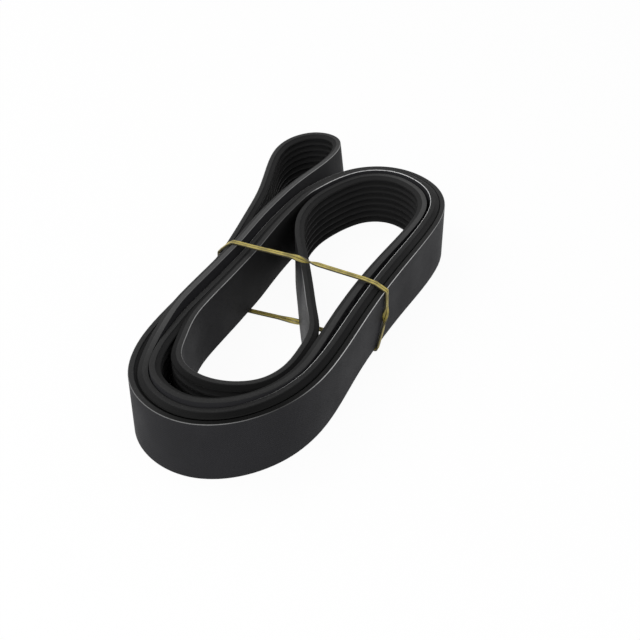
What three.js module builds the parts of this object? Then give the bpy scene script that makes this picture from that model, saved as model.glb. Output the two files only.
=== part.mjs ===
import * as THREE from "three";

// Ribbed drive belt folded flat for storage, standing on its cut edge, held by a rubber band.
// Millimetres, +Z up, the long way of the bundle along X. The floor is at Z = 0.

// Belt section
const RIB_COUNT = 8;
const RIB_PITCH = 3.56;
const RIB_HEIGHT = 2.2;
const BACKING_THICKNESS = 2.4;
const RIB_FLANK_DEG = 20;
const RIB_TIP_HALF = 0.5;

// Length and breadth of the folded bundle. The stations and spots below are drawn on PLAN.
const BUNDLE_LENGTH = 251;
const BUNDLE_BREADTH = 105;
const PLAN = { length: 251, breadth: 105 };
const drawn = (p) => ({
  ...p,
  x: (p.x * BUNDLE_LENGTH) / PLAN.length,
  y: (p.y * BUNDLE_BREADTH) / PLAN.breadth,
});

// How strands lie against each other
const MESH_PLAY = 0.4;
const TIP_PLAY = 0.25;
const BACK_GAP = 0.35;

// Rubber band
const BAND_WIDTH = 3.0;
const BAND_THICKNESS = 1.3;
const BAND_GAP = 0.35;
const BAND_SIDES = 10;

// Derived sizes
const TAN_FLANK = Math.tan(THREE.MathUtils.degToRad(RIB_FLANK_DEG));
const GROOVE_HALF = RIB_PITCH / 2 - RIB_TIP_HALF - RIB_HEIGHT * TAN_FLANK;
const BELT_WIDTH = RIB_COUNT * RIB_PITCH;
const BELT_THICKNESS = BACKING_THICKNESS + RIB_HEIGHT;
const FLANK_STANDOFF = Math.max(0, (RIB_TIP_HALF - GROOVE_HALF) / TAN_FLANK);

// Back-to-back distance of two strands with their ribs meshed, and with their ribs tip to tip
const MESHED = 2 * BACKING_THICKNESS + RIB_HEIGHT + FLANK_STANDOFF + MESH_PLAY;
const TIPS = 2 * BELT_THICKNESS + TIP_PLAY;

// Meshed ribs sit half a pitch up or down from the ribs they mesh with
const HALF = RIB_PITCH / 2;

// The band passes under the belt, which rides over it and comes back to the floor on both sides
const LIFT_X = -16;
const LIFT = BAND_THICKNESS + BAND_GAP;
const LIFT_FLAT = 18;
const LIFT_RAMP = 50;

// Stations round the bundle, from the far left round the near end to the far right.
// Each one has a point on the back of the outermost strand and the room between the strands:
// pair is back to back over the first two, slot is back to back between the second and third,
// inner is back to back over the third and fourth. steps is the number of facets to the next.
const STATIONS = [
  { x: 52, y: 43.3, pair: 18.7, slot: 0.9, inner: MESHED, steps: 1 },
  { x: 32, y: 41.1, pair: 14.8, slot: BACK_GAP, inner: MESHED, steps: 1 },
  { x: 12, y: 38.5, pair: 11.4, slot: BACK_GAP, inner: MESHED, steps: 1 },
  { x: -7, y: 37.1, pair: 9.6, slot: BACK_GAP, inner: MESHED, steps: 1 },
  { x: -18, y: 36.6, pair: MESHED + 0.2, slot: BACK_GAP, inner: MESHED, steps: 1 },
  { x: -30, y: 37.4, pair: MESHED, slot: BACK_GAP, inner: MESHED, steps: 1 },
  { x: -46, y: 39.4, pair: MESHED, slot: BACK_GAP, inner: MESHED, steps: 1 },
  { x: -60, y: 41.6, pair: MESHED + 0.2, slot: BACK_GAP, inner: MESHED + 0.5, steps: 1 },
  { x: -71, y: 42.9, pair: TIPS - 0.2, slot: BACK_GAP, inner: TIPS - 0.6, steps: 1 },
  { x: -81, y: 43.2, pair: TIPS + 0.1, slot: BACK_GAP, inner: TIPS + 0.9, steps: 1 },
  { x: -91, y: 42.2, pair: TIPS + 0.1, slot: BACK_GAP, inner: 0, steps: 1 },
  { x: -101.6, y: 39.6, pair: TIPS - 0.4, slot: BACK_GAP, inner: 0, steps: 1 },
  { x: -111.3, y: 34.8, pair: MESHED + 0.9, slot: BACK_GAP, inner: 0, steps: 1 },
  { x: -119.4, y: 27.2, pair: MESHED + 0.7, slot: BACK_GAP, inner: 0, steps: 1 },
  { x: -125.2, y: 17.4, pair: MESHED + 0.6, slot: BACK_GAP, inner: 0, steps: 1 },
  { x: -127.8, y: 7.0, pair: MESHED + 0.6, slot: BACK_GAP, inner: 0, steps: 1 },
  { x: -127.2, y: -2.9, pair: MESHED + 0.6, slot: BACK_GAP, inner: 0, steps: 1 },
  { x: -123.5, y: -12.7, pair: MESHED + 0.5, slot: BACK_GAP, inner: 0, steps: 1 },
  { x: -117.2, y: -21.4, pair: MESHED + 0.4, slot: BACK_GAP, inner: 0, steps: 1 },
  { x: -108.2, y: -29.2, pair: MESHED + 0.3, slot: BACK_GAP, inner: 0, steps: 1 },
  { x: -97.6, y: -34.9, pair: MESHED + 0.3, slot: BACK_GAP, inner: 0, steps: 1 },
  { x: -84.3, y: -38.8, pair: MESHED + 0.2, slot: 0.7, inner: TIPS, steps: 1 },
  { x: -70, y: -40.4, pair: MESHED, slot: 1.6, inner: TIPS, steps: 1 },
  { x: -56, y: -41.2, pair: MESHED, slot: 2.4, inner: TIPS, steps: 1 },
  { x: -34, y: -42.6, pair: MESHED, slot: 3.0, inner: 0, steps: 1 },
  { x: -12, y: -45.0, pair: MESHED, slot: 3.3, inner: 0, steps: 1 },
  { x: 12, y: -48.7, pair: MESHED, slot: 3.2, inner: 0, steps: 1 },
  { x: 34, y: -51.7, pair: MESHED, slot: 2.6, inner: 0, steps: 1 },
  { x: 52, y: -53.5, pair: MESHED, slot: 2.0, inner: 0, steps: 1 },
  { x: 65, y: -53.1, pair: MESHED, slot: 1.8, inner: 0, steps: 1 },
  { x: 76.8, y: -49.9, pair: MESHED + 0.2, slot: 1.6, inner: 0, steps: 1 },
  { x: 86.6, y: -44.0, pair: MESHED + 0.5, slot: 1.3, inner: 0, steps: 1 },
  { x: 94.1, y: -35.8, pair: MESHED + 0.8, slot: 1.0, inner: 0, steps: 1 },
  { x: 99.2, y: -25.8, pair: MESHED + 0.8, slot: 0.6, inner: 0, steps: 1 },
  { x: 100.6, y: -15.0, pair: MESHED + 0.7, slot: BACK_GAP, inner: 0, steps: 1 },
  { x: 98.2, y: -5.0, pair: MESHED + 0.5, slot: BACK_GAP, inner: 0, steps: 1 },
  { x: 92.7, y: 3.7, pair: MESHED + 0.2, slot: BACK_GAP, inner: 0, steps: 1 },
  { x: 84.6, y: 10.4, pair: MESHED, slot: 0.5, inner: 0, steps: 1 },
  { x: 75.0, y: 16.2, pair: MESHED, slot: 0.7, inner: 0, steps: 1 },
  { x: 63.6, y: 20.8, pair: MESHED, slot: 0.6, inner: 0, steps: 1 },
].map(drawn);

// Which stations each strand of the bundle passes
const LEFT_LAST = 9;
const RIGHT_FIRST = 21;
const RIGHT_HUG_LAST = 23;
const LAST = STATIONS.length - 1;

// How far the top of the right leg stands out beyond its foot, in degrees, by station
const TILT_FIRST = 20;
const TILT = [0.6, 1.4, 2.1, 3.5, 3.8, 2.6, 2.0, 0.6];

// Height of the second, third and fourth strands above the first, in half pitches, by station
const SECOND_RAISE = [2.75, 3, 3, 3, 3, 3, 3, 3, 2.75, 2.1, 1.5, 1.15];
const THIRD_RAISE = [
  0, 0, 0, 0, 0, 0, 0.06, 0.35, 0.8, 1.25, 1.65, 1.95, 2.2, 2.35, 2.42, 2.42, 2.4, 2.3, 2.1, 1.85, 1.6, 1.3,
  1.0, 0.75, 0.4, 0.12,
];
const FOURTH_RAISE = [1, 1, 1, 1, 1, 1, 1.06, 1.33, 1.6, 1.55];

// The open hairpin at the far left, from the second strand round to the first.
// raise is in half pitches, lean is how far the foot of the wall stands out, in degrees.
const HAIRPIN = [
  { x: 72.8, y: 20.9, raise: 2.4, lean: 1.5, steps: 1 },
  { x: 86, y: 18.0, raise: 2.15, lean: 5.0, steps: 1 },
  { x: 99, y: 16.3, raise: 1.9, lean: 6.7, steps: 1 },
  { x: 110.5, y: 16.8, raise: 1.75, lean: 6.7, steps: 1 },
  { x: 119.2, y: 20.9, raise: 1.62, lean: 5.0, steps: 2 },
  { x: 123.4, y: 29.3, raise: 1.5, lean: 3.5, steps: 2 },
  { x: 122.2, y: 38.4, raise: 1.35, lean: 2.5, steps: 2 },
  { x: 116.0, y: 45.4, raise: 1.2, lean: 2.0, steps: 1 },
  { x: 107.5, y: 49.8, raise: 1.05, lean: 1.5, steps: 1 },
  { x: 96, y: 51.5, raise: 0.85, lean: 1.0, steps: 1 },
  { x: 82, y: 49.6, raise: 0.6, lean: 0.5, steps: 1 },
  { x: 67, y: 46.3, raise: 0.3, lean: 0, steps: 1 },
].map(drawn);

// The strand that leaves the far loop and crosses the middle to the right leg
const CROSSING = [
  { x: 51.4, y: 15.5, raise: 0, lean: 0, steps: 1 },
  { x: 40, y: 16.2, raise: 0, lean: 0, steps: 1 },
  { x: 28, y: 14.1, raise: 0, lean: 0, steps: 1 },
  { x: 15.5, y: 9.9, raise: 0, lean: 0, steps: 1 },
  { x: 3, y: 3.6, raise: 0, lean: 1.5, steps: 1 },
  { x: -12, y: -3.6, raise: 0, lean: 3.0, steps: 1 },
  { x: -28, y: -10.9, raise: 0, lean: 4.0, steps: 1 },
  { x: -42, y: -16.9, raise: 0, lean: 2.5, steps: 1 },
].map(drawn);

// The innermost bend at the near end
const INNER_BEND = [
  { x: -91.2, y: -17.8, raise: 0.4, lean: 0, steps: 1 },
  { x: -96.2, y: -12.4, raise: 0.5, lean: 0, steps: 1 },
  { x: -99.4, y: -5.2, raise: 0.6, lean: 0, steps: 1 },
  { x: -100.4, y: 2.6, raise: 0.7, lean: 0, steps: 1 },
  { x: -99.2, y: 10.2, raise: 0.9, lean: 0, steps: 1 },
  { x: -95.6, y: 16.8, raise: 1.1, lean: 0, steps: 1 },
  { x: -89.6, y: 21.4, raise: 1.3, lean: 0, steps: 1 },
].map(drawn);

// Inward normal of the bundle at each station
function stationNormals() {
  return STATIONS.map((s, i) => {
    const a = STATIONS[Math.max(i - 1, 0)];
    const b = STATIONS[Math.min(i + 1, LAST)];
    const t = new THREE.Vector2(b.x - a.x, b.y - a.y).normalize();
    return new THREE.Vector2(-t.y, t.x);
  });
}

// Control points of the belt's back, once round the closed belt, ribs always to the left
function beltPath() {
  const normals = stationNormals();
  // facing is 1 where the strand's back faces out of the bundle and -1 where it faces in
  const at = (i, depth, raise, facing) => {
    const tilt = TILT[i - TILT_FIRST] ?? 0;
    const reach = depth - BELT_WIDTH * Math.tan(THREE.MathUtils.degToRad(tilt));
    return {
      x: STATIONS[i].x + normals[i].x * reach,
      y: STATIONS[i].y + normals[i].y * reach,
      raise: (raise || 0) * HALF,
      lean: -facing * tilt,
      steps: STATIONS[i].steps,
    };
  };
  const free = (p) => ({ ...p, raise: p.raise * HALF });
  const path = [];
  for (let i = 0; i <= LAST; i++) {
    path.push(at(i, 0, 0, 1));
  }
  for (let i = 0; i <= LAST; i++) {
    const s = STATIONS[i];
    path.push(at(i, s.pair + s.slot, THIRD_RAISE[i], 1));
  }
  path.push(...CROSSING.map(free));
  for (let i = RIGHT_HUG_LAST; i >= RIGHT_FIRST; i--) {
    const s = STATIONS[i];
    path.push(at(i, s.pair + s.slot + s.inner, 0.1, -1));
  }
  path.push(...INNER_BEND.map(free));
  for (let i = LEFT_LAST; i >= 0; i--) {
    const s = STATIONS[i];
    path.push(at(i, s.pair + s.slot + s.inner, FOURTH_RAISE[i], -1));
  }
  for (let i = LAST; i >= 0; i--) {
    const s = STATIONS[i];
    path.push(at(i, s.pair, SECOND_RAISE[i] ?? 1, -1));
  }
  path.push(...HAIRPIN.map(free));
  return path;
}

// Smooth closed curve near the control points, with its direction
function sampleBelt(path) {
  const n = path.length;
  const out = [];
  for (let i = 0; i < n; i++) {
    const c = [path[(i + n - 1) % n], path[i], path[(i + 1) % n], path[(i + 2) % n]];
    for (let k = 0; k < path[i].steps; k++) {
      const u = k / path[i].steps;
      const w = [(1 - u) ** 3, 3 * u ** 3 - 6 * u ** 2 + 4, -3 * u ** 3 + 3 * u ** 2 + 3 * u + 1, u ** 3];
      const d = [-((1 - u) ** 2), 3 * u ** 2 - 4 * u, -3 * u ** 2 + 2 * u + 1, u ** 2];
      const mix = (f, q) => q.reduce((s, v, j) => s + v * f(c[j]), 0);
      const t = new THREE.Vector2(mix((p) => p.x, d), mix((p) => p.y, d)).normalize();
      out.push({
        x: mix((p) => p.x, w) / 6,
        y: mix((p) => p.y, w) / 6,
        raise: mix((p) => p.raise, w) / 6,
        lean: THREE.MathUtils.degToRad(mix((p) => p.lean, w) / 6),
        nx: -t.y,
        ny: t.x,
      });
    }
  }
  return out;
}

// Belt section as depth from the back and height, rib grooves running along the belt
function beltSection() {
  const floor = BACKING_THICKNESS;
  const tip = BELT_THICKNESS;
  const pts = [[0, 0], [floor, 0]];
  for (let i = 0; i < RIB_COUNT; i++) {
    const mid = (i + 0.5) * RIB_PITCH;
    const foot = RIB_PITCH / 2 - GROOVE_HALF;
    pts.push([floor, mid - foot], [tip, mid - RIB_TIP_HALF], [tip, mid + RIB_TIP_HALF], [floor, mid + foot]);
  }
  pts.push([floor, BELT_WIDTH], [0, BELT_WIDTH]);
  return pts;
}

// How far the belt rides up where the band passes under it
function liftAt(x) {
  const d = THREE.MathUtils.clamp((Math.abs(x - LIFT_X) - LIFT_FLAT) / LIFT_RAMP, 0, 1);
  return LIFT * (0.5 + 0.5 * Math.cos(Math.PI * d));
}

// One ring of points per sample, joined into a closed body
function sweep(rings) {
  const n = rings.length;
  const m = rings[0].length;
  const pos = [];
  rings.forEach((ring) => ring.forEach((p) => pos.push(p.x, p.y, p.z)));
  const index = [];
  for (let i = 0; i < n; i++) {
    const a = i * m;
    const b = ((i + 1) % n) * m;
    for (let j = 0; j < m; j++) {
      const k = (j + 1) % m;
      index.push(a + j, b + j, b + k, a + j, b + k, a + k);
    }
  }
  const g = new THREE.BufferGeometry();
  g.setAttribute("position", new THREE.Float32BufferAttribute(pos, 3));
  g.setIndex(index);
  if (signedVolume(g) < 0) {
    for (let t = 0; t < index.length; t += 3) {
      [index[t + 1], index[t + 2]] = [index[t + 2], index[t + 1]];
    }
    g.setIndex(index);
  }
  return g;
}

function signedVolume(g) {
  const p = g.attributes.position;
  const q = g.index;
  const [a, b, c] = [new THREE.Vector3(), new THREE.Vector3(), new THREE.Vector3()];
  let v = 0;
  for (let t = 0; t < q.count; t += 3) {
    a.fromBufferAttribute(p, q.getX(t));
    b.fromBufferAttribute(p, q.getX(t + 1));
    c.fromBufferAttribute(p, q.getX(t + 2));
    v += a.dot(b.cross(c)) / 6;
  }
  return v;
}

function beltRings() {
  const section = beltSection();
  return sampleBelt(beltPath()).map((s) =>
    section.map(([depth, height]) => {
      const out = (BELT_WIDTH - height) * Math.tan(s.lean);
      const x = s.x + s.nx * (depth - out);
      const y = s.y + s.ny * (depth - out);
      return new THREE.Vector3(x, y, height + s.raise + liftAt(x));
    })
  );
}

// The band lies in one upright plane across the bundle. Along it, s is distance and z is height.
const BAND_SLANT = 0.075;
const BAND_CROSS_X = -13.8;
const BAND_RUN = Math.hypot(1, BAND_SLANT);

function offPlane(p) {
  return (p.x - BAND_CROSS_X - BAND_SLANT * p.y) / BAND_RUN;
}

// Where the belt's lengthwise edges pass the faces and middle of the band's width
function crossings(rings) {
  const reach = BAND_WIDTH / 2 + BAND_GAP;
  const found = [];
  rings.forEach((ring, i) => {
    const next = rings[(i + 1) % rings.length];
    ring.forEach((p, j) => {
      for (const off of [-reach, 0, reach]) {
        const a = offPlane(p) - off;
        const b = offPlane(next[j]) - off;
        if (a * b < 0) {
          const q = p.clone().lerp(next[j], a / (a - b));
          found.push([(q.y + BAND_SLANT * q.x) / BAND_RUN, q.z]);
        }
      }
    });
  });
  return found;
}

// Tight line round a set of points, anticlockwise
function hull(points) {
  const p = [...points].sort((a, b) => a[0] - b[0] || a[1] - b[1]);
  const turn = (o, a, b) => (a[0] - o[0]) * (b[1] - o[1]) - (a[1] - o[1]) * (b[0] - o[0]);
  const half = (list) => {
    const h = [];
    for (const q of list) {
      while (h.length > 1 && turn(h[h.length - 2], h[h.length - 1], q) <= 0.02) {
        h.pop();
      }
      h.push(q);
    }
    h.pop();
    return h;
  };
  return [...half(p), ...half([...p].reverse())];
}

// Band of oval section drawn tight round the bundle, clear of it by the gap
function bandRings(rings) {
  const corners = hull(crossings(rings));
  const off = BAND_GAP + BAND_THICKNESS / 2;
  const out = [];
  corners.forEach((c, i) => {
    const a = corners[(i + corners.length - 1) % corners.length];
    const b = corners[(i + 1) % corners.length];
    const from = Math.atan2(-(c[0] - a[0]), c[1] - a[1]);
    let turnBy = Math.atan2(-(b[0] - c[0]), b[1] - c[1]) - from;
    turnBy = turnBy < 0 ? turnBy + 2 * Math.PI : turnBy;
    const steps = Math.max(1, Math.ceil(turnBy / 0.4));
    for (let k = 0; k <= steps; k++) {
      const angle = from + (turnBy * k) / steps;
      out.push(bandRing(c, angle, off));
    }
  });
  return out;
}

function bandRing(corner, angle, off) {
  const ring = [];
  const dir = [Math.cos(angle), Math.sin(angle)];
  for (let k = 0; k < BAND_SIDES; k++) {
    const t = (2 * Math.PI * k) / BAND_SIDES;
    const r = off + (BAND_THICKNESS / 2) * Math.sin(t);
    const side = (BAND_WIDTH / 2) * Math.cos(t);
    const s = corner[0] + dir[0] * r;
    const z = corner[1] + dir[1] * r;
    const foot = (s * BAND_RUN - BAND_SLANT * BAND_CROSS_X) / (1 + BAND_SLANT * BAND_SLANT);
    const y = foot - (side * BAND_SLANT) / BAND_RUN;
    const x = BAND_CROSS_X + BAND_SLANT * foot + side / BAND_RUN;
    ring.push(new THREE.Vector3(x, y, z));
  }
  return ring;
}

function assemble() {
  const rings = beltRings();
  const parts = [
    ["belt", sweep(rings), 0x2b2c2f],
    ["rubber_band", sweep(bandRings(rings)), 0x8f8436],
  ];
  const box = new THREE.Box3();
  parts.forEach(([, g]) => box.union(new THREE.Box3().setFromBufferAttribute(g.attributes.position)));
  const mid = box.getCenter(new THREE.Vector3());
  const group = new THREE.Group();
  parts.forEach(([name, g, color]) => {
    g.translate(-mid.x, -mid.y, -box.min.z);
    g.computeVertexNormals();
    const mesh = new THREE.Mesh(g, new THREE.MeshStandardMaterial({ color, roughness: 0.8 }));
    mesh.name = name;
    group.add(mesh);
  });
  return group;
}

export default assemble();
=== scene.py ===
"""Looks of a ribbed drive belt, folded on its edge and held by a rubber band.

The belt is one closed curve of control points, smoothed and swept by Geometry Nodes with its
moulded section. The rubber band is two strands twisted round a tight line about the bundle.
Sizes are in millimetres until a mesh is made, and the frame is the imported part's.
"""

import logging
import math
from dataclasses import dataclass, field
from enum import Enum

import bpy
import numpy as np
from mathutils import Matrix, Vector, geometry


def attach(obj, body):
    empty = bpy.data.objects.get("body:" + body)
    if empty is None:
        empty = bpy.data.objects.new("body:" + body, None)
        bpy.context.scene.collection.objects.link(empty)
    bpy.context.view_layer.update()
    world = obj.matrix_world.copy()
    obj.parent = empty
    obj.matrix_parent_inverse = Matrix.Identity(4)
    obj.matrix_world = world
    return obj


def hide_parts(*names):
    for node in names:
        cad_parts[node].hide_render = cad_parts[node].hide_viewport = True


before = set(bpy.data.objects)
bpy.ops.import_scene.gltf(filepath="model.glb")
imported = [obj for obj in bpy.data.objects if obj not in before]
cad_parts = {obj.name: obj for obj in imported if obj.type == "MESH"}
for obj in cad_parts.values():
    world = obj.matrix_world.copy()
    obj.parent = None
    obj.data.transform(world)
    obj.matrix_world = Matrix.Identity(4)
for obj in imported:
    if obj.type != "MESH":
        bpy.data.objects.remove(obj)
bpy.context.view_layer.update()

LOG = logging.getLogger("folded_belt")
MM = 0.001

# Share of a side that a rounded corner may take, the short step that keeps its shading off the
# flat faces, and the steps round a corner that is seen close and round any other
CORNER_SHARE = 0.42
CORNER_GUARD = 0.1
CLOSE_STEPS = 5
PLAIN_STEPS = 2


class Run(Enum):
    """The runs that the belt's line is made of, in their order round the belt."""

    OUTER = "outermost strand"
    THIRD = "third strand"
    CROSSING = "strand across the middle"
    HUG = "crossing strand along the right leg"
    INNER_BEND = "innermost bend"
    FOURTH = "innermost strand"
    SECOND = "second strand"
    HAIRPIN = "open hairpin"


class Facing(Enum):
    """Which way a strand's back faces, as the sign of its lean."""

    OUT = 1
    IN = -1


@dataclass(frozen=True)
class Section:
    """The belt's cross-section.

    Args:
        ribs: number of ribs across the belt.
        pitch: distance from rib to rib.
        rib_height: from the groove floor to the rib tip.
        backing: from the back to the groove floor.
        flank: slope of a rib's side, in degrees from its axis.
        tip_half: half the width of a rib's flat tip.
        mesh_play: play between two strands whose ribs mesh.
        tip_play: play between two strands that stand tip to tip.
        back_radius: radius of the back's corners.
        edge_radius: radius of the corners between a cut edge and a groove floor.
        foot_radius: radius at the foot of a rib.
        tip_radius: radius at the tip of a rib.
    """

    ribs: int = 8
    pitch: float = 3.56
    rib_height: float = 2.2
    backing: float = 2.4
    flank: float = 20.0
    tip_half: float = 0.5
    mesh_play: float = 0.4
    tip_play: float = 0.25
    back_radius: float = 0.35
    edge_radius: float = 0.2
    foot_radius: float = 0.4
    tip_radius: float = 0.5

    @property
    def width(self) -> float:
        """Width of the belt from cut edge to cut edge."""
        return self.ribs * self.pitch

    @property
    def thickness(self) -> float:
        """Whole thickness from the back to the rib tips."""
        return self.backing + self.rib_height

    @property
    def groove_half(self) -> float:
        """Half the width of a groove's floor."""
        return self.pitch / 2 - self.tip_half - self.rib_height * math.tan(math.radians(self.flank))

    @property
    def meshed(self) -> float:
        """Back-to-back distance of two strands whose ribs mesh.

        Returns:
            The distance, with its play.
        """
        slope = math.tan(math.radians(self.flank))
        standoff = max(0.0, (self.tip_half - self.groove_half) / slope)
        return 2 * self.backing + self.rib_height + standoff + self.mesh_play

    @property
    def tips(self) -> float:
        """Back-to-back distance of two strands whose rib tips just clear."""
        return 2 * self.thickness + self.tip_play

    def corners(self) -> list[tuple[float, float, float]]:
        """Corners of the section.

        Returns:
            Depth from the back, height from the lower edge, and corner radius.
        """
        foot = self.pitch / 2 - self.groove_half
        out = [(0.0, 0.0, self.back_radius), (self.backing, 0.0, self.edge_radius)]
        for i in range(self.ribs):
            mid = (i + 0.5) * self.pitch
            out.append((self.backing, mid - foot, self.foot_radius))
            out.append((self.thickness, mid - self.tip_half, self.tip_radius))
            out.append((self.thickness, mid + self.tip_half, self.tip_radius))
            out.append((self.backing, mid + foot, self.foot_radius))
        out.append((self.backing, self.width, self.edge_radius))
        out.append((0.0, self.width, self.back_radius))
        return out

    def outline(self) -> list[tuple[float, float]]:
        """Section with every corner rounded, ready to sweep.

        Returns:
            Points as depth from the back and height from the lower edge.
        """
        pts = self.corners()
        out: list[tuple[float, float]] = []
        for i, (depth, height, radius) in enumerate(pts):
            here = np.array((depth, height))
            before = np.array(pts[i - 1][:2]) - here
            after = np.array(pts[(i + 1) % len(pts)][:2]) - here
            out.extend(rounded(here, before, after, radius, depth == 0.0))
        return out


def rounded(
    here: np.ndarray, before: np.ndarray, after: np.ndarray, radius: float, fine: bool
) -> list[tuple[float, float]]:
    """Points of one rounded corner.

    Args:
        here: the sharp corner.
        before: vector to the corner before it.
        after: vector to the corner after it.
        radius: radius wanted, cut down where the sides are short.
        fine: whether the corner is seen close and gets more points.

    Returns:
        Points from the side before to the side after.
    """
    a = before / np.linalg.norm(before)
    b = after / np.linalg.norm(after)
    half = math.acos(float(np.clip(np.dot(a, b), -1, 1))) / 2
    room = [CORNER_SHARE * np.linalg.norm(side) for side in (before, after)]
    reach = min(radius / math.tan(half), *room)
    p, q = here + a * reach, here + b * reach
    steps = CLOSE_STEPS if fine else PLAIN_STEPS
    pts = []
    if fine:
        pts.append(tuple(p + a * CORNER_GUARD))
    for k in range(steps + 1):
        t = k / steps
        pts.append(tuple((1 - t) ** 2 * p + 2 * t * (1 - t) * here + t * t * q))
    if fine:
        pts.append(tuple(q + b * CORNER_GUARD))
    return pts


@dataclass(frozen=True)
class Station:
    """A place round the bundle: a point on the outermost back and the room between strands.

    Args:
        x: along the bundle.
        y: across the bundle.
        pair: back to back over the first two strands.
        slot: back to back between the second and third strands.
        inner: back to back over the third and fourth strands.
    """

    x: float
    y: float
    pair: float
    slot: float
    inner: float = 0.0

    @property
    def third(self) -> float:
        """Depth of the third strand's back under the outermost back."""
        return self.pair + self.slot

    @property
    def fourth(self) -> float:
        """Depth of the innermost strand's back under the outermost back."""
        return self.pair + self.slot + self.inner


@dataclass(frozen=True)
class Spot:
    """A control point of the belt's back away from the stations.

    Args:
        x: along the bundle.
        y: across the bundle.
        lift: height above the outer strand, in half rib pitches.
        lean: how far the foot of the wall stands out, in degrees.
    """

    x: float
    y: float
    lift: float = 0.0
    lean: float = 0.0

    @property
    def row(self) -> tuple[float, ...]:
        """The spot as a row of control values."""
        return (self.x, self.y, self.lift, self.lean)


@dataclass(frozen=True)
class WearAndPaintedLight:
    """How a place of the belt looks: its wear, and the light and shade painted on it.

    Args:
        place: number of the control point in its run, in the order of the belt's line.
        chalk_and_painted_light: how light the cut edges are, from 0 to 1, partly from chalky wear and
            partly painted light on raised strands and painted shade on low ones.
        scuff: how strong the pale line on the back's corners is, from 0 to 1.
        pale: how much a painted highlight lightens the back, from 0 to 1, and how much painted shade
            darkens it, from 0 to -1.
        flank_shade: how much painted shade darkens the outermost ribs' outer flanks, from 0 to 1.
    """

    place: float
    chalk_and_painted_light: float
    scuff: float
    pale: float = 0.0
    flank_shade: float = 0.0


# Wear along each run, with painted light and shade on the cut edges, the back and the outer ribs' flanks,
# from the photograph
WEAR_AND_PAINTED_LIGHT = {
    Run.OUTER: (
        WearAndPaintedLight(0, 0.5, 0.3),
        WearAndPaintedLight(9, 0.4, 0.3),
        WearAndPaintedLight(13, 0.4, 0.2, flank_shade=0.5),
        WearAndPaintedLight(15, 0.1, 0.25, flank_shade=1.0),
        WearAndPaintedLight(17, 0.0, 0.3, flank_shade=1.0),
        WearAndPaintedLight(19, 0.0, 0.06, flank_shade=1.0),
        WearAndPaintedLight(20, 0.05, 0.12, flank_shade=1.0),
        WearAndPaintedLight(21.4, 0.1, 1.0, flank_shade=0.8),
        WearAndPaintedLight(24, 0.15, 1.0, flank_shade=0.6),
        WearAndPaintedLight(26.3, 0.2, 0.9, flank_shade=0.3),
        WearAndPaintedLight(27.2, 0.3, 0.4),
        WearAndPaintedLight(30, 0.45, 0.5),
        WearAndPaintedLight(34, 0.4, 0.5),
        WearAndPaintedLight(39, 0.4, 0.4),
    ),
    Run.THIRD: (
        WearAndPaintedLight(0, 0.6, 0.3),
        WearAndPaintedLight(1, 0.6, 0.9),
        WearAndPaintedLight(2.5, 0.6, 0.9),
        WearAndPaintedLight(3.5, 0.65, 0.2),
        WearAndPaintedLight(7, 0.65, 0.1),
        WearAndPaintedLight(9, 0.38, 0.0, flank_shade=0.3),
        WearAndPaintedLight(12, 0.33, 0.0, flank_shade=0.6),
        WearAndPaintedLight(19, 0.33, 0.0, flank_shade=0.6),
        WearAndPaintedLight(23, 0.5, 0.0),
        WearAndPaintedLight(26, 0.6, 0.05),
        WearAndPaintedLight(29, 0.85, 0.1),
        WearAndPaintedLight(33, 0.85, 0.1),
        WearAndPaintedLight(36, 0.45, 0.05),
        WearAndPaintedLight(39, 0.3, 0.05),
    ),
    # The crossing strand's back has a painted highlight near its end and painted shade before it
    Run.CROSSING: (
        WearAndPaintedLight(0, 0.35, 0.0, -0.3),
        WearAndPaintedLight(4, 0.3, 0.0, -0.5),
        WearAndPaintedLight(5, 0.3, 0.0, -0.3),
        WearAndPaintedLight(6, 0.3, 0.5, 0.9),
        WearAndPaintedLight(7, 0.3, 0.25, 0.7),
    ),
    Run.HUG: (WearAndPaintedLight(0, 0.35, 0.0, flank_shade=0.5), WearAndPaintedLight(2, 0.35, 0.3, flank_shade=1.0)),
    Run.INNER_BEND: (
        WearAndPaintedLight(0, 0.38, 0.8, flank_shade=1.0),
        WearAndPaintedLight(2, 0.38, 0.7, flank_shade=1.0),
        WearAndPaintedLight(4, 0.35, 0.1, flank_shade=1.0),
        WearAndPaintedLight(6, 0.35, 0.3, flank_shade=0.8),
    ),
    # Painted shade on the innermost strand's back, which the right leg shades
    Run.FOURTH: (
        WearAndPaintedLight(0, 0.4, 0.5, flank_shade=0.3),
        WearAndPaintedLight(3, 0.45, 0.6, -0.3),
        WearAndPaintedLight(5, 0.45, 0.3, -0.7),
        WearAndPaintedLight(9, 0.4, 0.0, -1.0),
    ),
    Run.SECOND: (
        WearAndPaintedLight(0, 0.35, 0.9),
        WearAndPaintedLight(8, 0.35, 1.0),
        WearAndPaintedLight(14, 0.3, 1.0, flank_shade=0.3),
        WearAndPaintedLight(19.5, 0.28, 1.0, flank_shade=0.8),
        WearAndPaintedLight(21, 0.28, 0.0, flank_shade=1.0),
        WearAndPaintedLight(27, 0.3, 0.0, flank_shade=0.5),
        WearAndPaintedLight(29, 0.5, 0.0),
        WearAndPaintedLight(31, 0.85, 0.05),
        WearAndPaintedLight(33, 1.0, 0.1),
        WearAndPaintedLight(39, 1.0, 0.3),
    ),
    Run.HAIRPIN: (
        WearAndPaintedLight(0, 1.0, 0.4, -0.4),
        WearAndPaintedLight(3, 0.7, 0.5, -0.3),
        WearAndPaintedLight(5, 0.5, 0.5),
        WearAndPaintedLight(11, 0.5, 0.3),
    ),
}

SECTION = Section()
MESH = SECTION.meshed
TIPS = SECTION.tips
# Least room between two strands that lie back to back
GAP = 0.35

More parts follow.
